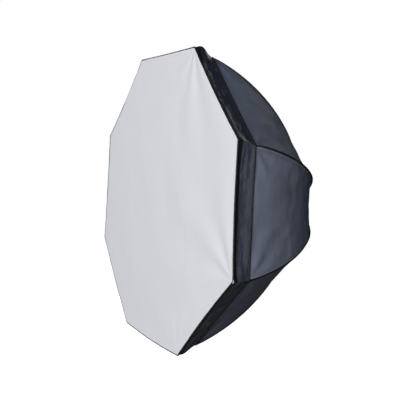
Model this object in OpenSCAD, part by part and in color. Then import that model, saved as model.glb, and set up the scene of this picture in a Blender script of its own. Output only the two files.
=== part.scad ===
// Octagonal umbrella-type studio softbox: eight curved ribs hinged on a crown and pushed open by a
// runner on a central shaft, a panelled outer canopy, a flared rim band and a flat front diffuser.
// Millimetres. Z is up, the diffuser faces -Y, the shaft lies along Y and the origin is on the shaft
// axis in the middle of the bare stretch where a stand bracket clamps it.

/* [Canopy] */
// Width of the front, from corner to opposite corner
across_corners = 800; // [700:10:900]
// Depth from the rib hinges to the front edge
canopy_depth = 428; // [410:2:450]
// Depth of the rim band in front of the rib tips
band_depth = 52; // [40:1:60]
// How far the rim band flares outwards in its depth
band_flare = 22; // [16:1:26]
// Thickness of the coated cloth
cloth_t = 0.8; // [0.6:0.1:1.2]
// Radius of the hole that the panels leave round the crown
panel_hole_r = 20; // [19:1:26]

/* [Ribs] */
// Diameter of a rib rod
rib_d = 3.6; // [3:0.2:4]
// Angle between the rib's outward normal and the hub plane at the hub
hub_slope = 81; // [78:1:83]
// The same angle where the two arcs of the rib meet
knee_slope = 45; // [40:1:50]
// The same angle at the rib tip
tip_slope = 17; // [15:1:20]
// Radius of the circle of rib hinges
hinge_r = 12; // [11:0.5:13]

/* [Stretchers] */
// Length of a stretcher between its two pivots
stretcher_len = 200; // [180:5:220]
// Diameter of a stretcher rod
stretcher_d = 3.2; // [2.6:0.2:3.4]
// Slope angle of the rib where its stretcher clip sits
clip_slope = 65; // [63:1:67]
// Distance from the rib's centre line to the stretcher's pivot
clip_drop = 7; // [7:0.5:9]

/* [Shaft] */
// Diameter of the shaft
shaft_d = 8; // [8:0.5:9]
// Wall thickness of the shaft tube
shaft_wall = 0.9; // [0.6:0.1:1.2]
// Distance from the rib hinges to the front end of the shaft
shaft_reach = 385; // [370:5:395]
// Length of the bare stretch at the front end, which a bracket clamps
clamp_len = 68; // [60:2:70]
// Depth of the index groove behind that stretch
groove_depth = 0.3; // [0.2:0.1:0.4]

/* [Runner] */
// How far the runner slides forwards when the softbox folds
runner_travel = 71; // [68:1:73]
// Length of the runner's sleeve in front of the stretcher pivots
sleeve_front = 26; // [24:1:28]
// Radius of the runner's slotted flange
flange_r = 16.5; // [16:0.5:18]

/* [Access zip] */
// Slope angle of the bottom panel at the inner end of the zip
zip_inner_slope = 43; // [41:1:45]
// Slope angle of the bottom panel at the rim end of the zip
zip_outer_slope = 19; // [18:1:21]
// Width of the zip's tape
zip_w = 24; // [20:1:30]

/* [Hidden] */
$fn = 48;
sides = 8;
step = 360 / sides;
flat = cos(step / 2);
corner_r = across_corners / 2;
clamp_t = shaft_reach - clamp_len / 2;

// Cloth stays this far outside the ribs' centre lines
cloth_off = 3.4;
// Air left between two neighbouring cloth pieces
cloth_gap = 0.3;

// Each rib is two tangent arcs, solved so that it runs from its hinge to its tip
tip_r = corner_r - band_flare;
tip_t = canopy_depth - band_depth;
hub_dr = cos(knee_slope) - cos(hub_slope);
tip_dr = cos(tip_slope) - cos(knee_slope);
hub_dt = sin(hub_slope) - sin(knee_slope);
tip_dt = sin(knee_slope) - sin(tip_slope);
arcs_det = hub_dr * tip_dt - tip_dr * hub_dt;
hub_arc_r = ((tip_r - hinge_r) * tip_dt - tip_dr * tip_t) / arcs_det;
tip_arc_r = (hub_dr * tip_t - (tip_r - hinge_r) * hub_dt) / arcs_det;
hub_centre = [hinge_r - hub_arc_r * cos(hub_slope), hub_arc_r * sin(hub_slope)];
tip_centre = hub_centre + (hub_arc_r - tip_arc_r) * [cos(knee_slope), -sin(knee_slope)];

// Point of the rib's meridian at a slope angle, moved outwards by off: [radius, distance forwards]
function rib_point(slope, off = 0) =
    slope < knee_slope
        ? tip_centre + (tip_arc_r + off) * [cos(slope), -sin(slope)]
        : hub_centre + (hub_arc_r + off) * [cos(slope), -sin(slope)];

// The same point in the plane halfway between two ribs
function panel_point(slope, off) = [rib_point(slope, off)[0] * flat, rib_point(slope, off)[1]];

// A strip of the panel's meridian between two slopes, from one offset to another
function strip(from, to, off_in, off_out, parts) = concat(
    [for (i = [0 : parts]) panel_point(from + (to - from) * i / parts, off_in)],
    [for (i = [0 : parts]) panel_point(to + (from - to) * i / parts, off_out)]);

// Slope at which the cloth starts at the crown
panel_start_slope = acos((panel_hole_r - hub_centre[0]) / (hub_arc_r + cloth_off));

// Hub end of a rib: a flattened blade with an eye for the crown wire
blade_len = 13;
blade_t = 2;
blade_h = 4.4;
eye_r = 2.8;
rod_start_slope = hub_slope - blade_len / hub_arc_r * 180 / PI;
ferrule_r = 2.7;
sleeve_joint_r = 2.4;
wire_r = 0.65;
wire_hole_r = 0.9;

// Stretcher pivots: on the rib's clip and in the runner
clip_pivot = rib_point(clip_slope, -clip_drop);
runner_t = clip_pivot[1] + sqrt(stretcher_len ^ 2 - (clip_pivot[0] - hinge_r) ^ 2);
stretcher_angle = atan2(runner_t - clip_pivot[1], hinge_r - clip_pivot[0]);
lug_t = 2;
fork_gap = 0.2;
cheek_t = 0.9;
pin_r = 0.95;
pin_hole_r = 1.15;
fork_len = 9;

// Crown stack behind and round the rib hinges, as distances forwards
crown_r = 17;
crown_back = -6;
crown_front = 8;
washer_back = -7.4;
patch_back = -8.4;
patch_r = 39;
patch_rise = 8.3;
cap_back = -20;
cap_r = 15;
shaft_back = -16;
slot_w = 2.4;

// Front end of the shaft
groove_w = 2;
plug_spigot = 10;
plug_head_r = shaft_d / 2 - 0.3;

// Runner
sleeve_r = 7.5;
sleeve_bore_r = shaft_d / 2 + 0.25;
sleeve_back = 6;
flange_back = 3.5;
flange_front = 4;
notch_w = 2.6;
button_r = 3;
button_t = 12;
button_out = 15.5;
button_in = 7;
boss_r = 5;
boss_out = 13;
stop_r = 6;
stop_w = 2;
stop_gap = 0.4;

// Rim band and diffuser
band_t = 1;
band_start = [rib_point(tip_slope, cloth_off + cloth_t)[0], rib_point(tip_slope, cloth_off)[1] + 2 * cloth_gap];
band_end = [corner_r, canopy_depth];
band_lean = (band_end[0] - band_start[0]) / (band_end[1] - band_start[1]);
diffuser_t = 1;
diffuser_back = canopy_depth + cloth_gap;
hem_depth = 20;
hem_t = 1;
hem_front = canopy_depth - cloth_gap;

// Zip: tape, slider and hanging pull, with the slider on the arc that fits the tape
bottom = 6;
tape_off = cloth_off + cloth_t + cloth_gap;
tape_t = 0.8;
slider_slope = 24;
slider_len = 14;
slider_w = 9;
slider_h = 4;
slider_off = tape_off + tape_t + 0.5;
pull_len = 34;
pull_w = 7;
pull_t = 1.6;
bail_r = 1.1;

// Meridian frame at an azimuth: x is the radius, y the distance forwards of the rib hinges
module meridian(azimuth) {
    translate([0, clamp_t, 0]) rotate([0, -azimuth, 0]) rotate([180, 0, 0]) children();
}

// Meridian frame of rib i, and of panel i, which lies between ribs i and i + 1
module at_rib(i) {
    meridian(step * (i - 0.5)) children();
}

module at_panel(i) {
    meridian(step * i) children();
}

// Shaft frame: z points forwards from the rib hinges
module along_shaft() {
    meridian(0) rotate([-90, 0, 0]) children();
}

// Frame on a rib: x runs along it to the tip and y points to the inside of the softbox
module on_rib(slope, off = 0) {
    translate([rib_point(slope, off)[0], rib_point(slope, off)[1], 0]) rotate([0, 0, 90 - slope]) children();
}

// Space between the planes of two neighbouring ribs, drawn in a panel's meridian frame
module between_ribs(gap) {
    inset = gap / sin(step / 2);
    reach = 1.2 * corner_r;
    half = (reach - inset) * tan(step / 2);
    rotate([-90, 0, 0]) translate([0, 0, -corner_r])
        linear_extrude(3 * corner_r) polygon([[inset, 0], [reach, -half], [reach, half]]);
}

// A cloth panel: a meridian outline run straight across from rib to rib
module cloth_panel(outline, gap) {
    intersection() {
        linear_extrude(across_corners, center = true) polygon(outline);
        between_ribs(gap);
    }
}

module ring(r_out, r_in, back, front) {
    translate([0, 0, back]) difference() {
        cylinder(r = r_out, h = front - back);
        translate([0, 0, -1]) cylinder(r = r_in, h = front - back + 2);
    }
}

module shaft() {
    groove_front = shaft_reach - clamp_len;
    color("silver") along_shaft() difference() {
        ring(shaft_d / 2, shaft_d / 2 - shaft_wall, shaft_back, shaft_reach);
        ring(shaft_d, shaft_d / 2 - groove_depth, groove_front - groove_w, groove_front);
    }
}

// Rubber plug in the open front end of the shaft
module shaft_end_plug() {
    color("dimgray") along_shaft() translate([0, 0, shaft_reach]) {
        translate([0, 0, -plug_spigot]) cylinder(r = shaft_d / 2 - shaft_wall, h = plug_spigot);
        cylinder(r = plug_head_r, h = 2);
        translate([0, 0, 2]) cylinder(r1 = plug_head_r, r2 = plug_head_r - 1, h = 1);
    }
}

// Slotted crown that the ribs hinge on
module crown_hub() {
    slot_floor = -eye_r - 0.6;
    slot_in = hinge_r - eye_r - 0.6;
    color("dimgray") difference() {
        along_shaft() ring(crown_r, shaft_d / 2, crown_back, crown_front);
        along_shaft() rotate_extrude() translate([hinge_r, 0]) circle(r = wire_r + 0.05);
        for (i = [1 : sides]) at_rib(i)
            translate([slot_in, slot_floor, -slot_w / 2])
                cube([crown_r, crown_front - slot_floor + 1, slot_w]);
    }
}

module crown_wire() {
    color("silver") along_shaft() rotate_extrude() translate([hinge_r, 0]) circle(r = wire_r);
}

module apex_washer() {
    color("dimgray") along_shaft() ring(crown_r, shaft_d / 2, washer_back, crown_back);
}

// Round patch that covers the hole between the panels
module apex_patch() {
    color("darkslategray") along_shaft() rotate_extrude() polygon([
        [shaft_d / 2, patch_back],
        [crown_r, patch_back],
        [patch_r, patch_back + patch_rise],
        [patch_r, washer_back + patch_rise],
        [crown_r, washer_back],
        [shaft_d / 2, washer_back]]);
}

module apex_cap() {
    color("dimgray") along_shaft() rotate_extrude() polygon([
        [shaft_d / 2, patch_back],
        [cap_r, patch_back],
        [cap_r, patch_back - 3],
        [cap_r - 3, patch_back - 7],
        [cap_r - 8, cap_back + 1],
        [0, cap_back],
        [0, shaft_back],
        [shaft_d / 2, shaft_back]]);
}

module runner_stop_front() {
    start = runner_t + runner_travel + sleeve_front + stop_gap;
    color("silver") along_shaft() ring(stop_r, shaft_d / 2, start, start + stop_w);
}

module runner_stop_rear() {
    start = runner_t - sleeve_back - stop_gap - stop_w;
    color("silver") along_shaft() ring(stop_r, shaft_d / 2, start, start + stop_w);
}

// Sliding runner: sleeve, slotted flange for the stretchers, thumb rings and the button's boss
module runner() {
    thumb_r = 11;
    thumb_w = 2.4;
    color("dimgray") translate([0, -runner_t, 0]) difference() {
        union() {
            along_shaft() ring(sleeve_r, sleeve_bore_r, -sleeve_back, sleeve_front);
            along_shaft() ring(flange_r, sleeve_bore_r, -flange_back, flange_front);
            along_shaft() ring(thumb_r, sleeve_bore_r, sleeve_front - thumb_w, sleeve_front);
            meridian(90) translate([sleeve_bore_r, button_t, 0]) rotate([0, 90, 0])
                cylinder(r = boss_r, h = boss_out - sleeve_bore_r);
        }
        along_shaft() translate([0, 0, -sleeve_back - 1])
            cylinder(r = sleeve_bore_r, h = sleeve_back + sleeve_front + 2);
        meridian(90) translate([0, button_t, 0]) rotate([0, 90, 0])
            cylinder(r = button_r + 0.3, h = boss_out + 1);
        for (i = [1 : sides]) at_rib(i)
            translate([hinge_r - eye_r - 0.6, -flange_back - 1, -notch_w / 2])
                cube([flange_r, flange_back + flange_front + 2, notch_w]);
    }
}

// Push button that frees the runner
module latch_button() {
    color("gray") meridian(90) translate([button_in, runner_t + button_t, 0]) rotate([0, 90, 0]) {
        cylinder(r = button_r, h = button_out - button_in - 1);
        translate([0, 0, button_out - button_in - 1]) cylinder(r1 = button_r, r2 = button_r - 1, h = 1);
    }
}

// One arc of a rib rod
module rod_arc(centre, radius, from, to) {
    translate([centre[0], centre[1], 0]) rotate([0, 0, -from])
        rotate_extrude(angle = from - to) translate([radius, 0]) circle(r = rib_d / 2);
}

// Rib: flattened eye, ferrule, two rod arcs and the sleeve that joins them
module rib_rod(i) {
    color("dimgray") at_rib(i) difference() {
        union() {
            rod_arc(hub_centre, hub_arc_r, rod_start_slope, knee_slope);
            rod_arc(tip_centre, tip_arc_r, knee_slope, tip_slope);
            on_rib(knee_slope) rotate([0, 90, 0]) cylinder(r = sleeve_joint_r, h = 16, center = true);
            on_rib(rod_start_slope) rotate([0, 90, 0]) cylinder(r = ferrule_r, h = 4, center = true);
            on_rib(hub_slope) translate([0, -blade_h / 2, -blade_t / 2]) cube([blade_len, blade_h, blade_t]);
            on_rib(hub_slope) cylinder(r = eye_r, h = blade_t, center = true);
        }
        on_rib(hub_slope) cylinder(r = wire_hole_r, h = blade_t + 2, center = true);
    }
}

// Stretcher clip with its lug, and the rounded cap on the rib tip
module rib_fittings(i) {
    clip_len = 8;
    clip_r = 2.8;
    cap_len = 10;
    cap_tip_r = 2.6;
    bore_r = rib_d / 2 + 0.05;
    color("black") at_rib(i) {
        on_rib(clip_slope) difference() {
            union() {
                rotate([0, 90, 0]) cylinder(r = clip_r, h = clip_len, center = true);
                translate([-eye_r, 0, -lug_t / 2]) cube([2 * eye_r, clip_drop, lug_t]);
                translate([0, clip_drop, 0]) cylinder(r = eye_r, h = lug_t, center = true);
            }
            rotate([0, 90, 0]) cylinder(r = bore_r, h = clip_len + 2, center = true);
            translate([0, clip_drop, 0]) cylinder(r = pin_hole_r, h = lug_t + 2, center = true);
        }
        on_rib(tip_slope) rotate([0, 90, 0]) difference() {
            union() {
                translate([0, 0, -cap_len]) cylinder(r = cap_tip_r, h = cap_len + 1);
                translate([0, 0, 1]) sphere(r = cap_tip_r);
            }
            translate([0, 0, -cap_len - 1]) cylinder(r = bore_r, h = cap_len + 1.2);
        }
    }
}

// Strut from the rib's clip to the runner: a fork with its pin, a rod and a flat eye
module stretcher(i) {
    cheek_in = lug_t / 2 + fork_gap;
    fork_w = cheek_in + cheek_t;
    fork_h = 3.8;
    blade_from = stretcher_len - 11;
    color("dimgray") at_rib(i) translate([clip_pivot[0], clip_pivot[1], 0]) rotate([0, 0, stretcher_angle]) {
        cylinder(r = pin_r, h = 2 * fork_w, center = true);
        for (side = [-1, 1]) translate([0, 0, side * (cheek_in + cheek_t / 2)]) difference() {
            union() {
                cylinder(r = eye_r, h = cheek_t, center = true);
                translate([0, -fork_h / 2, -cheek_t / 2]) cube([fork_len, fork_h, cheek_t]);
            }
            cylinder(r = pin_r, h = cheek_t + 2, center = true);
        }
        translate([fork_len / 2, -fork_h / 2, -cheek_in]) cube([fork_len / 2, fork_h, 2 * cheek_in]);
        translate([fork_len, 0, 0]) rotate([0, 90, 0]) cylinder(d = stretcher_d, h = blade_from - fork_len);
        difference() {
            union() {
                translate([blade_from, -blade_h / 2, -blade_t / 2])
                    cube([stretcher_len - blade_from, blade_h, blade_t]);
                translate([stretcher_len, 0, 0]) cylinder(r = eye_r - 0.2, h = blade_t, center = true);
            }
            translate([stretcher_len, 0, 0]) cylinder(r = wire_hole_r, h = blade_t + 2, center = true);
        }
    }
}

module gore(i) {
    color("slategray") at_panel(i)
        cloth_panel(strip(panel_start_slope, tip_slope, cloth_off, cloth_off + cloth_t, 16), cloth_gap / 2);
}

// One flat side of the flared rim band
module skirt(i) {
    outline = [
        [band_start[0] * flat, band_start[1]],
        [band_end[0] * flat, band_end[1]],
        [(band_end[0] - band_t) * flat, band_end[1]],
        [(band_start[0] - band_t) * flat, band_start[1]]];
    color("black") at_panel(i) cloth_panel(outline, cloth_gap / 2);
}

// White front cloth
module diffuser() {
    color("white") along_shaft() translate([0, 0, diffuser_back]) rotate([0, 0, step / 2])
        cylinder(r = corner_r, h = diffuser_t, $fn = sides);
}

// Hook-and-loop hem that holds the diffuser inside the rim band
module diffuser_hem() {
    hem_r = function (t) band_start[0] + band_lean * (t - band_start[1]) - band_t - 2 * cloth_gap;
    back = hem_front - hem_depth;
    outline = [
        [hem_r(hem_front) * flat, hem_front],
        [hem_r(back) * flat, back],
        [(hem_r(back) - hem_t) * flat, back],
        [(hem_r(hem_front) - hem_t) * flat, hem_front]];
    color("black") for (i = [1 : sides]) at_panel(i) cloth_panel(outline, 0);
}

module zip_tape() {
    color("black") at_panel(bottom) linear_extrude(zip_w, center = true)
        polygon(strip(zip_inner_slope, zip_outer_slope, tape_off, tape_off + tape_t, 8));
}

// Frame on the zip: x runs towards the rim and y points to the inside of the softbox
module on_zip() {
    seat = panel_point(slider_slope, slider_off);
    ahead = panel_point(slider_slope - 1, slider_off) - seat;
    at_panel(bottom) translate([seat[0], seat[1], 0]) rotate([0, 0, atan2(ahead[1], ahead[0])]) children();
}

module zip_slider() {
    color("silver") on_zip() difference() {
        union() {
            translate([-slider_len / 2, -slider_h, -slider_w / 2]) cube([slider_len, slider_h, slider_w]);
            for (side = [-1, 1]) translate([0, -slider_h - bail_r, side * 2.5])
                cylinder(r = 2 * bail_r, h = 1.6, center = true);
        }
        translate([0, -slider_h - bail_r, 0]) cylinder(r = bail_r * 0.6 + 0.2, h = slider_w, center = true);
    }
}

// Pull tab on the slider, lying along the zip
module zip_pull() {
    color("silver") on_zip() translate([0, -slider_h - bail_r, 0]) {
        cylinder(r = bail_r * 0.6, h = 6.6, center = true);
        translate([0, -pull_t / 2, -1.4]) cube([8, pull_t, 2.8]);
        translate([7, -pull_t / 2, -pull_w / 2]) cube([pull_len - 7, pull_t, pull_w]);
    }
}

shaft();
shaft_end_plug();
crown_hub();
crown_wire();
apex_washer();
apex_patch();
apex_cap();
runner_stop_front();
runner_stop_rear();
runner();
latch_button();
for (i = [1 : sides]) rib_rod(i);
for (i = [1 : sides]) rib_fittings(i);
for (i = [1 : sides]) stretcher(i);
for (i = [1 : sides]) gore(i);
for (i = [1 : sides]) skirt(i);
diffuser();
diffuser_hem();
zip_tape();
zip_slider();
zip_pull();
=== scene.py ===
# Octagonal studio softbox: cloth, seams, hardware finishes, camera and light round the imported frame.
import math

import bpy
import numpy as np
from mathutils import Matrix, Vector, noise


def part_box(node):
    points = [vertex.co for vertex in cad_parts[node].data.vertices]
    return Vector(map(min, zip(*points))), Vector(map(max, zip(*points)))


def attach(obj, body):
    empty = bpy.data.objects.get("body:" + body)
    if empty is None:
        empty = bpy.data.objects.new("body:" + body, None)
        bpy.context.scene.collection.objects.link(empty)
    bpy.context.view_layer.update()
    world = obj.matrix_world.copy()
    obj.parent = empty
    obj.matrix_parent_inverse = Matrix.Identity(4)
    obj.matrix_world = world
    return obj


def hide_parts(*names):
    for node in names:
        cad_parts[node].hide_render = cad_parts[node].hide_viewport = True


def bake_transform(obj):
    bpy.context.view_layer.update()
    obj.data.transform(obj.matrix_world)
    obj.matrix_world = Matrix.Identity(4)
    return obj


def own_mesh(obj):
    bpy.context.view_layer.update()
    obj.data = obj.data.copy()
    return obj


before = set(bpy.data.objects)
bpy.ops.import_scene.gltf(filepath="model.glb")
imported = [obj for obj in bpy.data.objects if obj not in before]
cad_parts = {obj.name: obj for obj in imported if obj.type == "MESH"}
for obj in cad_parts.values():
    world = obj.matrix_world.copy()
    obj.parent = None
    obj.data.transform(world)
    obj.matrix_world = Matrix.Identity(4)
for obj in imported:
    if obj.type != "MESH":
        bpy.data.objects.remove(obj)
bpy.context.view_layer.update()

# ---------------------------------------------------------------- driving dimensions, in metres
SIDES = 8
STEP = math.radians(360 / SIDES)
FLAT = math.cos(STEP / 2)
CORNER_R = 0.400
DEPTH = 0.428
BAND_DEPTH = 0.052
BAND_FLARE = 0.022
HINGE_R = 0.012
HUB_SLOPE, KNEE_SLOPE, TIP_SLOPE = (math.radians(a) for a in (81, 45, 17))
CLAMP_T = 0.351
CLOTH_OFF = 0.0042
CLOTH_T = 0.0008
PANEL_HOLE_R = 0.020

# Rib profile: two tangent arcs from the hinge to the tip, as [radius, distance forwards]
TIP_R = CORNER_R - BAND_FLARE
TIP_T = DEPTH - BAND_DEPTH
ARCS = np.linalg.solve(
    [[math.cos(KNEE_SLOPE) - math.cos(HUB_SLOPE), math.cos(TIP_SLOPE) - math.cos(KNEE_SLOPE)],
     [math.sin(HUB_SLOPE) - math.sin(KNEE_SLOPE), math.sin(KNEE_SLOPE) - math.sin(TIP_SLOPE)]],
    [TIP_R - HINGE_R, TIP_T])
HUB_ARC_R, TIP_ARC_R = (float(r) for r in ARCS)
HUB_CENTRE = np.array([HINGE_R - HUB_ARC_R * math.cos(HUB_SLOPE), HUB_ARC_R * math.sin(HUB_SLOPE)])
TIP_CENTRE = HUB_CENTRE + (HUB_ARC_R - TIP_ARC_R) * np.array([math.cos(KNEE_SLOPE), -math.sin(KNEE_SLOPE)])


def rib_point(slope, off):
    """[radius, distance forwards] on the rib's meridian, off outside its centre line."""
    centre, radius = (TIP_CENTRE, TIP_ARC_R) if slope < KNEE_SLOPE else (HUB_CENTRE, HUB_ARC_R)
    return centre + (radius + off) * np.array([math.cos(slope), -math.sin(slope)])


def radial(azimuth):
    return np.array([math.cos(azimuth), 0.0, math.sin(azimuth)])


FORWARD = np.array([0.0, -1.0, 0.0])
HUB = np.array([0.0, CLAMP_T, 0.0])


def place(azimuth, r, t):
    """A point of the meridian plane at an azimuth, in the frame of the part."""
    return HUB + radial(azimuth) * r + FORWARD * t


def rib_azimuth(i):
    return STEP * (i - 0.5)


def next_rib(i):
    return i % SIDES + 1


def panel_azimuth(i):
    return STEP * i


def unit(v):
    return v / np.maximum(np.linalg.norm(v, axis=-1, keepdims=True), 1e-12)


# ---------------------------------------------------------------- meshes
class Builder:
    """Collects the parts of one piece: points, faces, material slots, UVs in metres, normals and weights."""

    def __init__(self):
        self.points, self.faces, self.slots = [], [], []
        self.uvs, self.normals, self.weights = [], [], []
        self.count = 0

    def add(self, points, faces, slot, uv, normals=None, weights=None):
        points = np.asarray(points, float).reshape(-1, 3)
        n = len(points)
        self.points.append(points)
        self.faces += [tuple(int(k) + self.count for k in f) for f in faces]
        self.slots += [slot] * len(faces)
        self.uvs.append(np.asarray(uv, float).reshape(-1, 2))
        normals = np.zeros((n, 3)) if normals is None else np.asarray(normals, float)
        weights = np.zeros(n) if weights is None else np.asarray(weights, float)
        self.normals.append(normals.reshape(-1, 3))
        self.weights.append(weights.ravel())
        self.count += n

    def build(self, name, materials):
        mesh = bpy.data.meshes.new(name)
        points = np.concatenate(self.points)
        mesh.from_pydata(points.tolist(), [], self.faces)
        mesh.polygons.foreach_set("material_index", self.slots)
        mesh.polygons.foreach_set("use_smooth", [True] * len(self.faces))
        for material in materials:
            mesh.materials.append(material)
        corner_vertex = np.zeros(len(mesh.loops), int)
        mesh.loops.foreach_get("vertex_index", corner_vertex)
        layer = mesh.uv_layers.new(name="UVMap")
        layer.data.foreach_set("uv", np.concatenate(self.uvs)[corner_vertex].ravel())
        mesh.validate()
        mesh.normals_split_custom_set_from_vertices(np.concatenate(self.normals).tolist())
        piece = bpy.data.objects.new(name, mesh)
        bpy.context.scene.collection.objects.link(piece)
        return piece


def grid_faces(rows, cols, flip=False, base=0):
    faces = []
    for a in range(rows - 1):
        for b in range(cols - 1):
            k = base + a * cols + b
            quad = (k, k + 1, k + cols + 1, k + cols)
            faces.append(quad[::-1] if flip else quad)
    return faces


def rim_faces(rows, cols, flip=False):
    """Quads that close the gap between an outer grid and the inner grid that follows it."""
    edge = [(0, b) for b in range(cols)] + [(a, cols - 1) for a in range(1, rows)]
    edge += [(rows - 1, b) for b in range(cols - 2, -1, -1)] + [(a, 0) for a in range(rows - 2, 0, -1)]
    ring = [a * cols + b for a, b in edge]
    shift = rows * cols
    faces = []
    for k, here in enumerate(ring):
        there = ring[(k + 1) % len(ring)]
        quad = (here, here + shift, there + shift, there)
        faces.append(quad[::-1] if flip else quad)
    return faces


def grid_normals(grid, outward):
    """Unit normals of a grid of points, on the side that outward is on."""
    along = np.gradient(grid, axis=0)
    across = np.gradient(grid, axis=1)
    normals = unit(np.cross(along, across))
    side = np.sign((normals * outward).sum(-1, keepdims=True))
    side[side == 0] = 1
    return normals * side


# How much less the inner face of a sheet turns with its panel, per metre of thickness: keeps a sharp fold
# from closing up the sheet
FOLD_LAG = 10.0


def add_cloth(builder, outer, normals, thickness, uv, weights, slots=(0, 1)):
    """Closed sheet: the outer grid, the inner grid a thickness below it, and the edge between them."""
    rows, cols = outer.shape[:2]
    quad_normal = np.cross(outer[0, 1] - outer[0, 0], outer[1, 0] - outer[0, 0])
    flip = float(quad_normal @ normals[0, 0]) < 0
    inner = outer - normals * thickness
    points = np.concatenate([outer.reshape(-1, 3), inner.reshape(-1, 3)])
    both_uv = np.concatenate([uv.reshape(-1, 2)] * 2)
    both_normals = np.concatenate([normals.reshape(-1, 3), -normals.reshape(-1, 3)])
    lag = FOLD_LAG * thickness * np.clip(12 * weights * (1 - weights), 0, 1)
    both_weights = np.concatenate([weights.ravel(), np.clip(weights - lag, 0, 1).ravel()])
    start = len(builder.slots)
    outer_faces = grid_faces(rows, cols, flip)
    inner_faces = grid_faces(rows, cols, not flip, rows * cols)
    edge_faces = rim_faces(rows, cols, not flip)
    builder.add(points, outer_faces + inner_faces + edge_faces, slots[0], both_uv, both_normals, both_weights)
    for k in range(start + len(outer_faces), start + len(outer_faces) + len(inner_faces)):
        builder.slots[k] = slots[1]


def add_tube(builder, path, side, out, half_width, half_height, slot, weights, sides=10):
    """A cord or piping with an oval section, closed at both ends. side and out are unit vectors per point."""
    path, side, out = (np.asarray(a, float) for a in (path, side, out))
    n = len(path)
    width = np.broadcast_to(half_width, n)[:, None, None]
    height = np.broadcast_to(half_height, n)[:, None, None]
    angle = np.linspace(0, 2 * math.pi, sides, endpoint=False)
    c, s = np.cos(angle)[None, :, None], np.sin(angle)[None, :, None]
    rings = path[:, None] + side[:, None] * c * width + out[:, None] * s * height
    normals = unit(side[:, None] * c / width + out[:, None] * s / height)
    faces = []
    travel = path[1] - path[0]
    flip = float(np.cross(side[0], out[0]) @ travel) < 0
    for a in range(n - 1):
        for b in range(sides):
            b2 = (b + 1) % sides
            quad = (a * sides + b, a * sides + b2, (a + 1) * sides + b2, (a + 1) * sides + b)
            faces.append(quad[::-1] if flip else quad)
    first, last = tuple(range(sides)), tuple((n - 1) * sides + b for b in range(sides))
    faces += [first if flip else first[::-1], last[::-1] if flip else last]
    length = np.concatenate([[0], np.cumsum(np.linalg.norm(np.diff(path, axis=0), axis=1))])
    around = angle * float(np.mean(width))
    uv = np.stack(np.broadcast_arrays(around[None, :], length[:, None]), -1)
    point_weights = np.repeat(np.broadcast_to(weights, n), sides)
    builder.add(rings, faces, slot, uv, normals, point_weights)


STITCH_LENGTH = 0.0032
STITCH_PITCH = 0.0048
STITCH_R = 0.00042
STITCH_SIDES = 6
# The rings of points round a stitch: how far along its length each lies, and its share of the full thickness
STITCH_RINGS = ((-0.5, 0.35), (-0.2, 1.0), (0.2, 1.0), (0.5, 0.35))


def add_stitches(builder, line, out, slot, weights=None):
    """A row of thread stitches along a line of points, standing a little proud along out."""
    line, out = np.asarray(line, float), np.asarray(out, float)
    steps = np.linalg.norm(np.diff(line, axis=0), axis=1)
    length = np.concatenate([[0], np.cumsum(steps)])
    count = int(length[-1] / STITCH_PITCH)
    if count < 1:
        return

    def pick(values, at):
        return np.stack([np.interp(at, length, values[:, k]) for k in range(3)], -1)

    centres = (np.arange(count) + 0.5) * length[-1] / count
    middle, up = pick(line, centres), unit(pick(out, centres))
    reach = 0.3 * STITCH_PITCH
    ahead = unit(pick(line, centres + reach) - pick(line, centres - reach))
    side = unit(np.cross(ahead, up))
    sides = STITCH_SIDES
    angle = np.linspace(0, 2 * math.pi, sides, endpoint=False)
    rings = []
    for along, swell in STITCH_RINGS:
        centre = middle + ahead * along * STITCH_LENGTH + up * (swell - 0.5) * STITCH_R
        ring = side[:, None] * np.cos(angle)[None, :, None] + up[:, None] * np.sin(angle)[None, :, None]
        rings.append(centre[:, None] + ring * swell * STITCH_R)
    points = np.stack(rings, 1).reshape(-1, 3)
    faces = []
    stitch_points = len(STITCH_RINGS) * sides
    for k in range(count):
        base = k * stitch_points
        for a in range(len(STITCH_RINGS) - 1):
            for b in range(sides):
                b2 = (b + 1) % sides
                faces.append((base + a * sides + b, base + a * sides + b2,
                              base + (a + 1) * sides + b2, base + (a + 1) * sides + b))
        faces.append(tuple(base + b for b in range(sides))[::-1])
        faces.append(tuple(base + stitch_points - sides + b for b in range(sides)))
    uv = np.zeros((len(points), 2))
    stitch_weights = None
    if weights is not None:
        at_centres = np.interp(centres, length, np.broadcast_to(weights, len(line)))
        stitch_weights = np.repeat(at_centres, stitch_points)
    builder.add(points, faces, slot, uv, None, stitch_weights)


# ---------------------------------------------------------------- materials
def new_material(name):
    material = bpy.data.materials.new(name)
    material.use_nodes = True
    tree = material.node_tree
    return material, tree, tree.nodes["Principled BSDF"]


def add_node(tree, kind, inputs=None, **settings):
    made = tree.nodes.new(kind)
    for key, value in settings.items():
        setattr(made, key, value)
    for key, value in (inputs or {}).items():
        if isinstance(value, bpy.types.NodeSocket):
            tree.links.new(value, made.inputs[key])
        else:
            made.inputs[key].default_value = value
    return made


def maths(tree, operation, a, b=0.0):
    return add_node(tree, "ShaderNodeMath", {0: a, 1: b}, operation=operation).outputs[0]


def mix_colour(tree, factor, a, b):
    made = add_node(tree, "ShaderNodeMix", data_type="RGBA")
    sockets = {"Factor": made.inputs[0], "A": made.inputs[6], "B": made.inputs[7]}
    for key, value in (("Factor", factor), ("A", a), ("B", b)):
        if isinstance(value, bpy.types.NodeSocket):
            tree.links.new(value, sockets[key])
        else:
            sockets[key].default_value = value
    return made.outputs[2]


def noise_texture(tree, where, scale, detail):
    inputs = {"Vector": where, "Scale": scale, "Detail": detail}
    return add_node(tree, "ShaderNodeTexNoise", inputs).outputs["Fac"]


def wave_texture(tree, where, scale, direction):
    inputs = {"Vector": where, "Scale": scale, "Distortion": 0.6, "Detail": 1.0}
    return add_node(tree, "ShaderNodeTexWave", inputs, bands_direction=direction).outputs["Fac"]


def map_range(tree, value, limits):
    return add_node(tree, "ShaderNodeMapRange", {"Value": value, **limits}).outputs["Result"]


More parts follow.
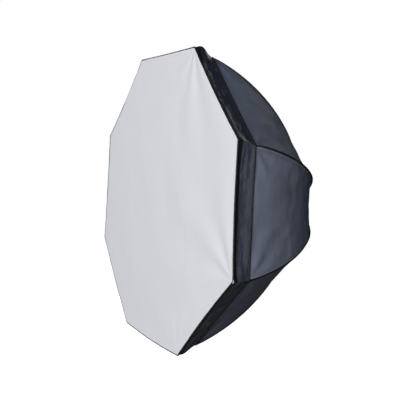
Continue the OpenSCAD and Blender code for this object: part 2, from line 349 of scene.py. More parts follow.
WAVE_PERIOD = math.pi / 10
SHEEN_ROUGHNESS = 0.4
CLOUD_SCALE, SLUB_SCALE = 9.0, 420.0
GAP_SHADE = 0.82
CRUMPLE_STRENGTH = 0.35
THREAD_RELIEF = 0.0002


def woven(name, colour, thread_pitch, roughness, sheen, variation=0.12, weave_depth=0.25, cloud_depth=0.0,
          specular=0.5, wrinkle_scale=45.0):
    """Woven cloth: crossing threads, slubs and a faint clouding, all laid out in the cloth's own metres."""
    material, tree, shader = new_material(name)
    uv = add_node(tree, "ShaderNodeUVMap", uv_map="UVMap").outputs["UV"]
    scale = WAVE_PERIOD / thread_pitch
    warp = wave_texture(tree, uv, scale, "X")
    weft = wave_texture(tree, uv, scale, "Y")
    threads = maths(tree, "MULTIPLY", warp, weft)
    cloud = noise_texture(tree, uv, CLOUD_SCALE, 3.0)
    slub = noise_texture(tree, uv, SLUB_SCALE, 2.0)
    shade = maths(tree, "ADD", maths(tree, "MULTIPLY", cloud, 0.6), maths(tree, "MULTIPLY", slub, 0.4))
    light = tuple(min(1.0, c * (1 + variation)) for c in colour) + (1,)
    dark = tuple(c * (1 - variation) for c in colour) + (1,)
    tinted = mix_colour(tree, shade, dark, light)
    gaps = tuple(c * GAP_SHADE for c in colour) + (1,)
    base_colour = mix_colour(tree, maths(tree, "MULTIPLY", threads, 0.5), tinted, gaps)
    tree.links.new(base_colour, shader.inputs["Base Color"])
    rough = map_range(tree, shade, {"To Min": roughness - 0.06, "To Max": roughness + 0.06})
    tree.links.new(rough, shader.inputs["Roughness"])
    shader.inputs["Sheen Weight"].default_value = sheen
    shader.inputs["Sheen Roughness"].default_value = SHEEN_ROUGHNESS
    shader.inputs["Specular IOR Level"].default_value = specular
    crumple = noise_texture(tree, uv, wrinkle_scale, 3.0)
    broad = add_node(tree, "ShaderNodeBump",
                     {"Height": crumple, "Strength": CRUMPLE_STRENGTH, "Distance": cloud_depth})
    fine = add_node(tree, "ShaderNodeBump",
                    {"Height": threads, "Strength": weave_depth, "Distance": THREAD_RELIEF,
                     "Normal": broad.outputs["Normal"]})
    tree.links.new(fine.outputs["Normal"], shader.inputs["Normal"])
    return material


PATCH_SCALE = 60.0
WEAR_SHARE = 0.35


def moulded(name, colour, roughness, metallic=0.0, grain=600.0, grain_depth=0.00005, wear=None, coat=0.0):
    """Plastic, rubber or metal with a fine grain, uneven polish and slightly worn high spots."""
    material, tree, shader = new_material(name)
    where = add_node(tree, "ShaderNodeTexCoord").outputs["Object"]
    fine = noise_texture(tree, where, grain, 2.0)
    patchy = noise_texture(tree, where, PATCH_SCALE, 4.0)
    worn = tuple(colour[k] + (wear[k] - colour[k]) * WEAR_SHARE for k in range(3)) if wear else colour
    ramp = map_range(tree, patchy, {"From Min": 0.45, "From Max": 0.75})
    base_colour = mix_colour(tree, ramp, tuple(colour) + (1,), tuple(worn) + (1,))
    tree.links.new(base_colour, shader.inputs["Base Color"])
    rough = map_range(tree, patchy, {"To Min": roughness - 0.08, "To Max": roughness + 0.1})
    tree.links.new(rough, shader.inputs["Roughness"])
    shader.inputs["Metallic"].default_value = metallic
    shader.inputs["Coat Weight"].default_value = coat
    bump = add_node(tree, "ShaderNodeBump", {"Height": fine, "Strength": 0.3, "Distance": grain_depth})
    tree.links.new(bump.outputs["Normal"], shader.inputs["Normal"])
    return material


# Every second panel is coloured lighter and the others darker: painted light on the one and painted shade on
# the other, in two copies of the same nylon
CANOPY_LIT_AND_SHADED_COLOURS = ((0.146, 0.163, 0.212), (0.086, 0.101, 0.146))
CANOPY_LIT_AND_SHADED = [woven(f"canopy_nylon_painted_light_and_shade_{k}", colour, 0.0006, 0.5, 0.0, cloud_depth=0.010, variation=0.2, specular=0.4,
                wrinkle_scale=14.0)
          for k, colour in enumerate(CANOPY_LIT_AND_SHADED_COLOURS)]
LINING = woven("silver_lining", (0.55, 0.56, 0.58), 0.0006, 0.3, 0.0, cloud_depth=0.0005)
LINING.node_tree.nodes["Principled BSDF"].inputs["Metallic"].default_value = 0.8
# Colour and roughness of the rim band's two copies of one nylon: the first colour is painted light, the
# second painted shade
BAND_LIT_AND_SHADED_LOOKS = (((0.052, 0.059, 0.078), 0.34), ((0.010, 0.012, 0.019), 0.24))
BAND_LIT_AND_SHADED = [woven(f"rim_band_nylon_painted_light_and_shade_{k}", colour, 0.0005, roughness, 0.0, cloud_depth=0.016, variation=0.3,
              wrinkle_scale=30.0)
        for k, (colour, roughness) in enumerate(BAND_LIT_AND_SHADED_LOOKS)]
HEM = woven("rim_hem_nylon", (0.004, 0.005, 0.008), 0.0005, 0.42, 0.0, cloud_depth=0.0008, variation=0.2,
            specular=0.3)
PIPING = woven("seam_binding", (0.005, 0.005, 0.006), 0.0005, 0.6, 0.0, specular=0.25)
DIFFUSER = woven("diffuser_nylon", (0.50, 0.51, 0.537), 0.0005, 0.75, 0.05, cloud_depth=0.0003,
                 variation=0.035, weave_depth=0.15)
THREAD_DARK = woven("black_thread", (0.022, 0.023, 0.028), 0.0003, 0.6, 0.0)
THREAD_WHITE = woven("white_thread", (0.50, 0.51, 0.53), 0.0003, 0.6, 0.0)
HOOK_TAPE = woven("hook_tape", (0.015, 0.015, 0.016), 0.0015, 0.9, 0.3, weave_depth=0.9)
TAPE = woven("zip_tape_weave", (0.014, 0.014, 0.016), 0.0009, 0.7, 0.15, weave_depth=0.5)
RIB_METAL = moulded("rib_black_steel", (0.035, 0.036, 0.040), 0.38, 0.6, wear=(0.25, 0.25, 0.26))
SHAFT_METAL = moulded("shaft_steel", (0.60, 0.61, 0.63), 0.28, 1.0, grain=900.0)
ZIP_METAL = moulded("zip_black_metal", (0.045, 0.045, 0.05), 0.35, 0.9, wear=(0.35, 0.34, 0.32))
PLASTIC = moulded("moulded_black", (0.024, 0.024, 0.026), 0.45, wear=(0.07, 0.07, 0.07))
BUTTON = moulded("button_grey", (0.22, 0.23, 0.25), 0.32, wear=(0.35, 0.35, 0.36), coat=0.2)
RUBBER = moulded("soft_rubber", (0.02, 0.02, 0.021), 0.8, grain=300.0, grain_depth=0.0001)


# ---------------------------------------------------------------- camera, light and floor
# The camera stands to the front right of the softbox, level with it and a little rolled
CAMERA_PITCH, CAMERA_TURN, CAMERA_ROLL = (math.radians(a) for a in (-1.738, -60.677, -6.748))
CAMERA_OFFSET = Vector((-0.1070, 0.0048, -1.7114))
CAMERA_LENS = 59.27

to_part = Matrix(((1, 0, 0), (0, 0, -1), (0, 1, 0)))
to_camera = (Matrix.Rotation(CAMERA_PITCH, 3, "X") @ Matrix.Rotation(CAMERA_TURN, 3, "Y")
             @ Matrix.Rotation(CAMERA_ROLL, 3, "Z"))
front_centre = Vector((0, CLAMP_T - DEPTH, 0))
camera = bpy.data.objects.new("camera", bpy.data.cameras.new("camera"))
camera.data.lens = CAMERA_LENS
camera.data.sensor_width = 36
camera.data.clip_start = 0.02
camera.matrix_world = (Matrix.Translation(front_centre - to_part @ (to_camera.transposed() @ CAMERA_OFFSET))
                       @ (to_part @ to_camera.transposed()).to_4x4())
bpy.context.scene.collection.objects.link(camera)
bpy.context.scene.camera = camera
bpy.context.scene.view_settings.view_transform = "Standard"


def area_light(name, place_at, size, power):
    """A square light aimed at the middle of the softbox."""
    light = bpy.data.lights.new(name, "AREA")
    light.size = size
    light.energy = power
    lamp = bpy.data.objects.new(name, light)
    lamp.location = place_at
    lamp.rotation_euler = (-Vector(place_at)).to_track_quat("-Z", "Y").to_euler()
    bpy.context.scene.collection.objects.link(lamp)


area_light("key", (4.7, -5.2, 1.0), 2.6, 790)
area_light("rim", (-3.2, 4.4, 2.6), 1.8, 8)
area_light("back_fill", (-5.0, 0.6, 0.9), 4.5, 340)

# The camera sees plain white behind the softbox, and the softbox is lit by a dim, cooler sky
WORLD_AMBIENT = 0.065
SKY_TINT = (0.72, 0.88, 1.25, 1)
WHITE = (1, 1, 1, 1)
world = bpy.data.worlds.new("studio")
bpy.context.scene.world = world
world.use_nodes = True
sky = world.node_tree.nodes["Background"]
seen = add_node(world.node_tree, "ShaderNodeLightPath").outputs["Is Camera Ray"]
sky_colour = mix_colour(world.node_tree, seen, SKY_TINT, WHITE)
world.node_tree.links.new(sky_colour, sky.inputs["Color"])
strength = map_range(world.node_tree, seen, {"To Min": WORLD_AMBIENT, "To Max": 1.0})
world.node_tree.links.new(strength, sky.inputs["Strength"])

FLOOR_Z = -1.5
FLOOR_HALF = 14.0
floor_mesh = bpy.data.meshes.new("floor")
floor_corners = [(x * FLOOR_HALF, y * FLOOR_HALF, FLOOR_Z) for x, y in ((-1, -1), (1, -1), (1, 1), (-1, 1))]
floor_mesh.from_pydata(floor_corners, [], [(0, 1, 2, 3)])
floor = bpy.data.objects.new("floor", floor_mesh)
bpy.context.scene.collection.objects.link(floor)
floor_paint, floor_tree, floor_shader = new_material("pale_floor")
floor_shader.inputs["Base Color"].default_value = (0.08, 0.08, 0.08, 1)
floor_shader.inputs["Roughness"].default_value = 0.9
floor_shader.inputs["Emission Color"].default_value = WHITE
floor_seen = add_node(floor_tree, "ShaderNodeLightPath").outputs["Is Camera Ray"]
floor_tree.links.new(floor_seen, floor_shader.inputs["Emission Strength"])
floor_mesh.materials.append(floor_paint)


# ---------------------------------------------------------------- the canopy's surface
def wobble(x, y, seed):
    """Smooth noise between about -1 and 1."""
    return noise.noise(Vector((x, y, 7.31 * seed + 1.7)))


ROWS, COLS = 56, 49
HALF = COLS // 2
ACROSS = np.sin(np.linspace(-math.pi / 2, math.pi / 2, COLS))
ACROSS = 0.55 * ACROSS + 0.45 * np.linspace(-1, 1, COLS)
ACROSS[HALF] = 0.0
RIDGE_H = 0.0042
RIDGE_W = 0.0070
RIDGE_FADE = 0.012
SAG_W = 0.045
# How proud the bound seam stands along each rib: on some the allowance has flopped over
SEAM_STAND = {1: 0.7, 2: 0.15, 3: 0.9, 4: 0.7, 5: 0.9, 6: 0.8, 7: 0.1, 8: 0.3}
# Where the cloth hangs slack off a rib, and by how much
RIB_SLACK = {7: -0.0013, 8: 0.008}


def slack_off(k, along_cloth):
    """How far the cloth stands off rib k."""
    share = along_cloth / MERIDIAN_LENGTH
    rise = np.clip((share - 0.08) / 0.3, 0, 1)
    return RIB_SLACK.get(k, 0.0) * rise * rise * (3 - 2 * rise) * (1 - 0.35 * share)


def seam_height(k, along_cloth):
    """Height of the ridge on rib k, which dies away at the rim."""
    return RIDGE_H * SEAM_STAND[k] * (1 - math.exp(-((MERIDIAN_LENGTH - along_cloth) / RIDGE_FADE) ** 2))


def meridian_slopes():
    start = math.acos((PANEL_HOLE_R - HUB_CENTRE[0]) / (HUB_ARC_R + CLOTH_OFF))
    knee_at = (start - KNEE_SLOPE) * HUB_ARC_R
    whole = knee_at + (KNEE_SLOPE - TIP_SLOPE) * TIP_ARC_R
    slopes = []
    for length in np.linspace(0, whole, ROWS):
        if length < knee_at:
            slopes.append(start - length / HUB_ARC_R)
        else:
            slopes.append(KNEE_SLOPE - (length - knee_at) / TIP_ARC_R)
    slopes[-1] = TIP_SLOPE
    return slopes, whole


SLOPES, MERIDIAN_LENGTH = meridian_slopes()
ALONG = np.linspace(0, MERIDIAN_LENGTH, ROWS)


# The shares of a half panel, beside the rib and beside the middle line, that turn as one with them
RIB_HOLD, MIDDLE_HOLD = 0.05, 0.13


def cloth_weight(v):
    """How far the cloth turns with its panel and not its rib: v is -1 and 1 at the ribs, 0 between them."""
    return np.clip((1 - np.abs(v) - RIB_HOLD) / (1 - RIB_HOLD - MIDDLE_HOLD), 0, 1)


# Heights of the canopy's relief, in metres
SAG_H, SAG_LEAST = 0.0020, 0.0010
BROAD_H, CRUMPLE_H, PUCKER_H, SEAM_PUCKER_H, PULL_H = 0.0030, 0.0013, 0.0030, 0.0012, 0.0024
# How far from a rib its direction still counts, and how far from it the seam holds the cloth down, in metres
NEAR_RIB = 0.02
SEAM_HOLD = 0.012


def gore_surface(i):
    """Outer surface of panel i as a grid of points, and its normals."""
    mid = panel_azimuth(i)
    ribs = (i, next_rib(i))
    grid = np.zeros((ROWS, COLS, 3))
    push = np.zeros((ROWS, COLS, 3))
    for a, slope in enumerate(SLOPES):
        r, t = rib_point(slope, CLOTH_OFF)
        s = ALONG[a]
        ends = [place(rib_azimuth(k), *rib_point(slope, CLOTH_OFF + slack_off(k, s))) for k in ribs]
        half_width = r * math.sin(STEP / 2)
        tilt = math.atan2(math.sin(slope), math.cos(slope) / FLAT)
        flat_normal = radial(mid) * math.cos(tilt) - FORWARD * math.sin(tilt)
        to_rim = MERIDIAN_LENGTH - s
        share = s / MERIDIAN_LENGTH
        sag = SAG_H * math.sin(math.pi * share) ** 0.8 + SAG_LEAST
        for b, v in enumerate(ACROSS):
            side = mid + (STEP / 2 if v > 0 else -STEP / 2)
            rib_normal = radial(side) * math.cos(slope) - FORWARD * math.sin(slope)
            off_rib = (1 - abs(v)) * half_width
            near = math.exp(-off_rib / NEAR_RIB)
            out = unit(rib_normal * near + flat_normal * (1 - near))
            ridge = seam_height(next_rib(i) if v > 0 else i, s) * math.exp(-(off_rib / RIDGE_W) ** 2)
            slack = -sag * (1 - math.exp(-off_rib / SAG_W))
            free = 1 - math.exp(-(off_rib / SEAM_HOLD) ** 2)
            x = v * half_width
            broad = BROAD_H * wobble(s / 0.13, x / 0.07, i) * (1 - math.exp(-off_rib / 0.04))
            broad += CRUMPLE_H * wobble(s / 0.05 + x / 0.09, x / 0.032, i + 100) * free
            pucker = PUCKER_H * wobble(s / 0.034, 3.1 * np.sign(v), i + 20)
            pucker = pucker * math.exp(-off_rib / 0.026) * free
            seam = SEAM_PUCKER_H * wobble(x / 0.028, 0.5, i + 40) * math.exp(-to_rim / 0.022) * free
            corner = math.hypot(to_rim, off_rib)
            bearing = math.atan2(to_rim, off_rib)
            pull = PULL_H * math.exp(-corner / 0.085) * math.cos(7.0 * bearing + i) * free
            edge = 1 - math.exp(-(to_rim / 0.010) ** 2) if to_rim < 0.1 else 1.0
            rise = ridge + slack + (broad + pucker + pull) * edge + seam * edge
            grid[a, b] = ends[0] * (1 - v) / 2 + ends[1] * (1 + v) / 2 + out * rise
            push[a, b] = out
    return grid, grid_normals(grid, push)


BAND_ROWS = 19
HEM_ROW = 14
BAND_LEAN = math.atan2(BAND_FLARE, BAND_DEPTH)
BAND_LENGTH = math.hypot(BAND_FLARE, BAND_DEPTH)
BAND_T = 0.001
# Heights of the rim band's relief, in metres
BAND_HOLLOW, LENGTHWISE_H, SLANTING_H, BAND_CRUMPLE_H = 0.0018, 0.0052, 0.0056, 0.0011
# How far the middle of each side's front edge is drawn in, and how far the band swells over a rib, in metres
FRONT_SCALLOP = {1: 0.0045, 2: 0.0010, 3: 0.0045, 4: 0.0020, 5: -0.0020, 6: -0.0050, 7: 0.0045, 8: 0.0045}
BAND_SWELL = {1: 0.0042, 2: 0.0105, 3: 0.0042, 4: 0.0042, 5: 0.0042, 6: 0.0042, 7: 0.0042, 8: 0.0042}
# The sewn front isn't quite regular: each corner's shift in x and z, in metres
CORNER_SHIFT = {1: (-0.003, 0.004), 2: (-0.002, 0.001), 3: (0.004, -0.002), 4: (0.010, 0.006),
                5: (0.005, 0.0), 6: (-0.011, 0.0), 7: (0.0, -0.001), 8: (0.011, 0.010)}


def front_corner(k):
    shift = CORNER_SHIFT[k]
    return place(rib_azimuth(k), CORNER_R, DEPTH) + np.array([shift[0], 0, shift[1]])


def front_edge(i, v):
    """Point of the front edge between ribs i and i + 1."""
    mid = panel_azimuth(i)
    ends = [front_corner(i), front_corner(next_rib(i))]
    inward = -radial(mid) * FRONT_SCALLOP[i] * (1 - v * v)
    return ends[0] * (1 - v) / 2 + ends[1] * (1 + v) / 2 + inward


def skirt_surface(i, seam_row):
    """Outer surface of side i of the rim band, from the seam with its panel to the front edge."""
    mid = panel_azimuth(i)
    grid = np.zeros((BAND_ROWS, COLS, 3))
    push = np.zeros((BAND_ROWS, COLS, 3))
    flat_tilt = math.atan2(math.sin(BAND_LEAN), math.cos(BAND_LEAN) / FLAT)
    flat_normal = radial(mid) * math.cos(flat_tilt) - FORWARD * math.sin(flat_tilt)
    half_width = CORNER_R * math.sin(STEP / 2)
    for a, h in enumerate(np.linspace(0, 1, BAND_ROWS)):
        for b, v in enumerate(ACROSS):
            side = mid + (STEP / 2 if v > 0 else -STEP / 2)
            rib_normal = radial(side) * math.cos(BAND_LEAN) - FORWARD * math.sin(BAND_LEAN)
            off_rib = (1 - abs(v)) * half_width
            near = math.exp(-off_rib / NEAR_RIB)
            out = unit(rib_normal * near + flat_normal * (1 - near))
            free = 1 - math.exp(-(off_rib / SEAM_HOLD) ** 2)
            arch = math.sin(math.pi * h)
            swell = BAND_SWELL[next_rib(i) if v > 0 else i]
            bulge = swell * math.sin(math.pi * h * h) * near - BAND_HOLLOW * arch * (1 - near)
            x = v * half_width
            lengthwise = LENGTHWISE_H * wobble(x / 0.11 + 0.5 * h, 3.2 * h, i + 60)
            slanting = SLANTING_H * wobble(x / 0.028 + 1.6 * h, 1.4 * h, i + 80)
            share = 0.3 if i % 2 == 0 else 0.8
            fold = (lengthwise * (1 - share) + slanting * share) * arch ** 0.6
            fold += BAND_CRUMPLE_H * wobble(x / 0.022 - h, 2.6 * h, i + 120) * arch ** 0.5
            rise = bulge + fold * free
            grid[a, b] = seam_row[b] * (1 - h) + front_edge(i, v) * h + out * rise
            push[a, b] = out
    return grid, grid_normals(grid, push)


def halves(i):
    """The two halves of panel i: letter, rib body, panel body and the columns of the grid that they cover."""
    return (("a", f"rib_{i}", f"gore_body_{i}", slice(0, HALF + 1)),
            ("b", f"rib_{next_rib(i)}", f"skirt_body_{i}", slice(HALF, COLS)))


def bend(piece):
    """Bakes the piece's transform into its mesh."""
    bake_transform(piece)


GORE_HALF_WIDTHS = np.array([rib_point(slope, CLOTH_OFF)[0] * math.sin(STEP / 2) for slope in SLOPES])
FRONT_HALF_WIDTH = CORNER_R * math.sin(STEP / 2)
# Each panel's and band's cloth is cut from its own stretch of the weave
UV_STEP, BAND_UV = 0.31, 0.7
# Distances of the two rows of stitches from a rib
STITCH_ROWS = (0.0065, 0.0095)
# How far each piping stands off the cloth, and half its width and height: at the seam and at the front edge
SEAM_PIPE = (0.0008, 0.0016, 0.0015)
FRONT_PIPE = (0.0006, 0.0021, 0.0020)
HOOK_TAPE_BACK = 0.0014
HOOK_TAPE_T = 0.0012


def make_panel(i):
    """Panel i of the canopy and the side of the rim band in front of it, in two halves each."""
    grid, normals = gore_surface(i)
    band, band_normals = skirt_surface(i, grid[-1])
    seam_normals = unit(normals[-1] + band_normals[0])
    v_grid = np.broadcast_to(ACROSS, (ROWS, COLS))
    along_grid = np.broadcast_to(ALONG[:, None], (ROWS, COLS))
    gore_uv = np.stack([v_grid * GORE_HALF_WIDTHS[:, None], along_grid], -1)
    band_along = np.linspace(0, BAND_LENGTH, BAND_ROWS)
    band_v = np.broadcast_to(ACROSS, (BAND_ROWS, COLS))
    band_uv = np.stack([band_v * FRONT_HALF_WIDTH, np.broadcast_to(band_along[:, None], band_v.shape)], -1)
    for letter, rib_body, panel_body, cols in halves(i):
        side = -1 if letter == "a" else 1
        gore = Builder()
        weights = cloth_weight(v_grid[:, cols])
        add_cloth(gore, grid[:, cols], normals[:, cols], CLOTH_T, gore_uv[:, cols] + [UV_STEP * i, 0],
                  weights)
        for off_seam in STITCH_ROWS:
            line, out, line_weights = [], [], []
            for a in range(3, ROWS):
                v = side * (1 - off_seam / GORE_HALF_WIDTHS[a])
                line.append([np.interp(v, ACROSS, grid[a, :, k]) for k in range(3)])
                out.append([np.interp(v, ACROSS, normals[a, :, k]) for k in range(3)])
                line_weights.append(float(cloth_weight(v)))
            add_stitches(gore, line, out, 2, line_weights)
        last = grid[-1, cols] * 0.45 + grid[-2, cols] * 0.55
        add_stitches(gore, last, normals[-1, cols], 2, cloth_weight(ACROSS[cols]))
        # Alternate panels take the copy with painted light and the copy with painted shade
        piece = gore.build(f"canopy_panel_{i}{letter}", [CANOPY_LIT_AND_SHADED[i % 2], LINING, THREAD_DARK])
        bend(piece)
        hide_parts(f"gore_{i}")

        skirt = Builder()
        add_cloth(skirt, band[:, cols], band_normals[:, cols], BAND_T,
                  band_uv[:, cols] + [UV_STEP * i, BAND_UV], cloth_weight(band_v[:, cols]), slots=(0, 0))
        across_cols = band[0, cols].shape[0] - 1
        hem_from, hem_to = HEM_ROW * across_cols, (BAND_ROWS - 1) * across_cols
        skirt.slots[hem_from:hem_to] = [2] * (hem_to - hem_from)
        for row in (1, HEM_ROW):
            add_stitches(skirt, band[row, cols], band_normals[row, cols], 1, cloth_weight(ACROSS[cols]))
        # Alternate sides of the band take the copy with painted light and the copy with painted shade
        piece = skirt.build(f"rim_band_{i}{letter}", [BAND_LIT_AND_SHADED[i % 2], THREAD_DARK, HEM])
        bend(piece)
        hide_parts(f"skirt_{i}")

        trim = Builder()
        for base, out, pipe in ((grid[-1, cols], seam_normals[cols], SEAM_PIPE),
                                (band[-1, cols], band_normals[-1, cols], FRONT_PIPE)):
            stand, half_width, half_height = pipe
            line = base + out * stand
            ahead = unit(np.gradient(line, axis=0))
            add_tube(trim, line, unit(np.cross(ahead, out)), out, half_width, half_height, 0,
                     cloth_weight(ACROSS[cols]))
        piece = trim.build(f"seam_piping_{i}{letter}", [PIPING])
        bend(piece)

        tape = Builder()
        rows = slice(HEM_ROW, BAND_ROWS)
        inside = band[rows, cols] - band_normals[rows, cols] * HOOK_TAPE_BACK
        add_cloth(tape, inside, band_normals[rows, cols], HOOK_TAPE_T, band_uv[rows, cols],
                  cloth_weight(band_v[rows, cols]), slots=(0, 0))
        piece = tape.build(f"hook_tape_{i}{letter}", [HOOK_TAPE])
        bend(piece)
        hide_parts("diffuser_hem")


# The binding is widest at the apex and narrowest at the rim
BINDING_HALF_WIDTHS = np.linspace(0.0034, 0.0016, ROWS)
BINDING_LEAST_H, BINDING_RIDGE_H = 0.0012, 0.0020


def make_rib_seam(i):
    """Bound seam along rib i, over the ridge where two panels meet."""
    azimuth = rib_azimuth(i)
    path, out, height = [], [], []
    for slope, along_cloth in zip(SLOPES, ALONG):
        stand = seam_height(i, along_cloth)
        height.append(BINDING_LEAST_H + BINDING_RIDGE_H * stand / RIDGE_H)
        r, t = rib_point(slope, CLOTH_OFF + slack_off(i, along_cloth) + stand * 1.2)
        path.append(place(azimuth, r, t))
        out.append(radial(azimuth) * math.cos(slope) - FORWARD * math.sin(slope))
    path, out = np.array(path), np.array(out)
    side = np.broadcast_to(np.cross(radial(azimuth), FORWARD), path.shape)
    seam = Builder()
    add_tube(seam, path, side, out, BINDING_HALF_WIDTHS, np.array(height), 0, 0.0, sides=12)
    piece = seam.build(f"rib_seam_{i}", [PIPING])
    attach(piece, f"rib_{i}")


for i in range(1, SIDES + 1):
    make_panel(i)
    make_rib_seam(i)


# ---------------------------------------------------------------- diffuser
DIFFUSER_T = 0.0010
DIFFUSER_BACK = 0.0003
RADIAL_ROWS = 30
DIFFUSER_EDGE_ROWS = 6
DIFFUSER_STITCH_ROW = 3
EAR_RIB = 8
EAR_H, EAR_W = 0.0045, 0.007
# Corners with stronger creases, and corners with a long pull
CREASED = (EAR_RIB, 7, 2)
LONG_PULLS = (8, 2)
# Heights of the diffuser's relief, in metres
SOFT_FOLD_H, SMALL_FOLD_H, UPRIGHT_H, LONG_PULL_H = 0.0022, 0.0005, 0.0005, 0.0026


def diffuser_rise(point):
    """How far the diffuser's cloth stands forwards of flat: soft folds, and pulls at the corners."""
    x, z = point[0], point[2]
    r = math.hypot(x, z)
    azimuth = math.atan2(z, x)
    nearest = round(azimuth / STEP) * STEP
    limit = CORNER_R * FLAT / math.cos(azimuth - nearest)
    inside = max(0.0, 1 - (r / limit) ** 5)
    u, w = 0.56 * x - 0.83 * z, 0.83 * x + 0.56 * z
    fold = SOFT_FOLD_H * wobble(w / 0.085, u / 0.30, 101) + SMALL_FOLD_H * wobble(w / 0.035, u / 0.16, 102)
    upright = UPRIGHT_H * wobble(x / 0.035, z / 0.20, 103)
    pulls = 0.0
    for k in range(1, SIDES + 1):
        corner = front_corner(k)
        dx, dz = x - corner[0], z - corner[2]
        far = math.hypot(dx, dz)
        if far < 1e-6:
            continue
        bearing = math.atan2(dz, dx)
        size = 0.0005 if k in CREASED else 0.0003
        pulls += size * math.exp(-far / 0.13) * math.cos(11 * bearing + 2.1 * k) * (1 - math.exp(-far / 0.03))
        if k in LONG_PULLS:
            long_pull = LONG_PULL_H * math.exp(-far / 0.3) * math.cos(9 * bearing + k)
            pulls += long_pull * (1 - math.exp(-far / 0.06))
    return (fold + upright) * inside + pulls * max(0.0, 1 - (r / limit) ** 30)


def diffuser_edge(i, v):
    """Edge of the diffuser between ribs i and i + 1, with the pinched ear at one corner."""
    point = front_edge(i, v)
    for k, end in ((i, -1), (next_rib(i), 1)):
        if k == EAR_RIB:
            off = (1 - abs(v)) * FRONT_HALF_WIDTH if np.sign(v) == end else 1.0
            point = point + radial(rib_azimuth(k)) * EAR_H * math.exp(-(off / EAR_W) ** 2)
    return point


EDGE_SHARE = 0.95
WEDGES = 6


def diffuser_grid(i, share, columns):
    """Points, normals and UVs of sector i of the diffuser, at shares of the way out and columns of ACROSS."""
    centre = place(0, 0, DEPTH)
    lift = DIFFUSER_BACK + DIFFUSER_T
    step = 1e-4
    grid = np.zeros((len(share), len(columns), 3))
    normals = np.zeros_like(grid)
    for b, v in enumerate(columns):
        edge = diffuser_edge(i, v) - centre
        for a, rho in enumerate(share):
            flat = centre + edge * rho
            rise = diffuser_rise(flat)
            grid[a, b] = flat + FORWARD * (lift + rise)
            right = diffuser_rise(flat + np.array([step, 0, 0]))
            above = diffuser_rise(flat + np.array([0, 0, step]))
            normals[a, b] = unit(np.array([-(right - rise) / step, -1.0, -(above - rise) / step]))
    return grid, normals, np.stack([grid[..., 0], grid[..., 2]], -1)


def make_diffuser(i):
    """Sector i of the diffuser: an edge strip in two halves, and wedges carried by the diffuser's body."""
    centre = place(0, 0, DEPTH)
    for letter, rib_body, panel_body, cols in halves(i):
        columns = ACROSS[cols]
        grid, normals, uv = diffuser_grid(i, np.linspace(EDGE_SHARE, 1, DIFFUSER_EDGE_ROWS), columns)
        weights = np.broadcast_to(cloth_weight(columns), grid.shape[:2])
        cloth = Builder()
        add_cloth(cloth, grid, normals, DIFFUSER_T, uv, weights, slots=(0, 0))
        row = DIFFUSER_STITCH_ROW
        add_stitches(cloth, grid[row], normals[row], 1, cloth_weight(columns))
        piece = cloth.build(f"diffuser_edge_{i}{letter}", [DIFFUSER, THREAD_WHITE])
        bend(piece)
        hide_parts("diffuser")
    share = EDGE_SHARE * np.linspace(0, 1, RADIAL_ROWS) ** 0.8
    share[0] = 0.0015
    width = (COLS - 1) // WEDGES
    for k in range(WEDGES):
        columns = ACROSS[k * width:(k + 1) * width + 1]
        grid, normals, uv = diffuser_grid(i, share, columns)
        cloth = Builder()
        add_cloth(cloth, grid, normals, DIFFUSER_T, uv, np.zeros(grid.shape[:2]), slots=(0, 0))
        piece = cloth.build(f"diffuser_gore_{i}_{k + 1}", [DIFFUSER])
        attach(piece, "diffuser_body")
        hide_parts("diffuser")
        middle = grid[-1, len(columns) // 2] - centre
        middle[1] = 0
        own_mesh(piece)


for i in range(1, SIDES + 1):
    make_diffuser(i)


# ---------------------------------------------------------------- apex patch
PATCH_T = 0.001
PATCH_STITCH_ROWS = (11, 12)


def make_apex_patch():
    """Round cloth patch over the hole between the panels, sewn near its edge."""
    low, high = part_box("apex_patch")
    back, front = CLAMP_T - high.y, CLAMP_T - low.y
    r_out, r_in, r_flat = (high.x - low.x) / 2, 0.0042, 0.017
    rows, cols = 14, 97
    grid = np.zeros((rows, cols, 3))
    push = np.zeros((rows, cols, 3))
    for a, r in enumerate(np.linspace(r_in, r_out, rows)):
        rise = max(0.0, (r - r_flat) / (r_out - r_flat))
        t = back + (front - back - CLOTH_T) * rise ** 1.15
        for b, angle in enumerate(np.linspace(0, 2 * math.pi, cols)):
            ribbed = 0.0006 * math.cos(SIDES * (angle - STEP / 2)) * rise
            grid[a, b] = place(angle, r, t - ribbed)
            push[a, b] = -FORWARD
    normals = grid_normals(grid, push)
    uv = np.stack([grid[..., 0], grid[..., 2]], -1)
    patch = Builder()
    add_cloth(patch, grid, normals, PATCH_T, uv, np.zeros((rows, cols)), slots=(0, 0))
    for row in PATCH_STITCH_ROWS:
        add_stitches(patch, grid[row], normals[row], 1)
    # The patch takes the band's darker copy, which has painted shade in its colour
    piece = patch.build("apex_patch_cloth", [BAND_LIT_AND_SHADED[1], THREAD_DARK])
    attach(piece, "root")
    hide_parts("apex_patch")


make_apex_patch()


# ---------------------------------------------------------------- access zip on the bottom panel
ZIP_PANEL = 6
ZIP_INNER, ZIP_OUTER = math.radians(43), math.radians(19)
TAPE_HALF_W = 0.010
ZIP_TAPE_T = 0.0009
COIL_PITCH = 0.0024
# Half the width and height of a coil's thread, and how far its turn reaches across the tape
COIL_THREAD = (0.00055, 0.0006)
COIL_REACH = (-0.0006, 0.0010, 0.0026)


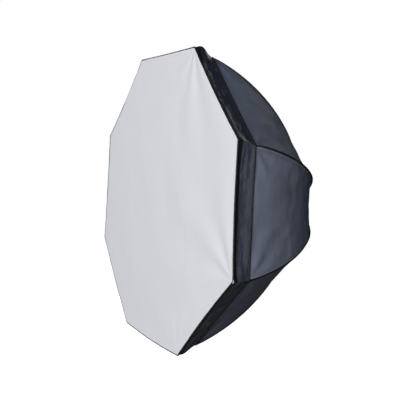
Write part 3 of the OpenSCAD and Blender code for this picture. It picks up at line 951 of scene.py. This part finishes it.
def make_zip():
    """Zip along the bottom panel: tape, coil teeth and stitching."""
    mid = panel_azimuth(ZIP_PANEL)
    grid, normals = gore_surface(ZIP_PANEL)
    slopes = np.array(SLOPES)
    rows = [a for a in range(ROWS) if ZIP_OUTER <= slopes[a] <= ZIP_INNER]
    widths = np.linspace(-1, 1, 9)
    line = np.stack([grid[a, HALF] for a in rows])
    out = unit(np.stack([normals[a, HALF] for a in rows]))
    side = np.cross(radial(mid), FORWARD)
    tape_grid = np.zeros((len(rows), len(widths), 3))
    for a, row in enumerate(rows):
        for b, w in enumerate(widths):
            v = w * TAPE_HALF_W / GORE_HALF_WIDTHS[row]
            base = np.array([np.interp(v, ACROSS, grid[row, :, k]) for k in range(3)])
            tape_grid[a, b] = base + out[a] * (0.0012 + 0.0004 * (1 - abs(w)))
    tape_normals = grid_normals(tape_grid, np.broadcast_to(out[:, None], tape_grid.shape))
    length = np.concatenate([[0], np.cumsum(np.linalg.norm(np.diff(line, axis=0), axis=1))])
    uv = np.stack(np.broadcast_arrays(widths[None, :] * TAPE_HALF_W, length[:, None]), -1)
    zipper = Builder()
    add_cloth(zipper, tape_grid, tape_normals, ZIP_TAPE_T, uv, np.zeros(tape_grid.shape[:2]), slots=(0, 0))
    for column in (1, 7):
        add_stitches(zipper, tape_grid[:, column], tape_normals[:, column], 1)
    top = line + out * 0.0019
    for sign in (-1, 1):
        count = int(length[-1] / COIL_PITCH)
        for k in range(count):
            at = (k + 0.5 + 0.25 * sign) * COIL_PITCH
            centre = np.array([np.interp(at, length, top[:, j]) for j in range(3)])
            up = unit(np.array([np.interp(at, length, out[:, j]) for j in range(3)]))
            path = [centre + side * sign * w for w in COIL_REACH]
            ahead = unit(np.cross(side, up))
            add_tube(zipper, path, [ahead] * 3, [up] * 3, *COIL_THREAD, 2, 0.0, sides=6)
    piece = zipper.build("zip_tape_sewn", [TAPE, THREAD_DARK, ZIP_METAL])
    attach(piece, f"gore_body_{ZIP_PANEL}")
    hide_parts("zip_tape")


make_zip()


# ---------------------------------------------------------------- finishes of the frame's own parts
def finish_of(node):
    if node.startswith(("rib_rod", "stretcher")):
        return RIB_METAL
    if node.startswith("zip"):
        return ZIP_METAL
    if node in ("shaft", "crown_wire", "runner_stop_front", "runner_stop_rear"):
        return SHAFT_METAL
    if node in ("apex_washer", "shaft_end_plug"):
        return RUBBER
    if node == "latch_button":
        return BUTTON
    return PLASTIC


for name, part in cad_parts.items():
    if not part.material_slots:
        part.data.materials.append(None)
    for material_slot in part.material_slots:
        material_slot.material = finish_of(name)
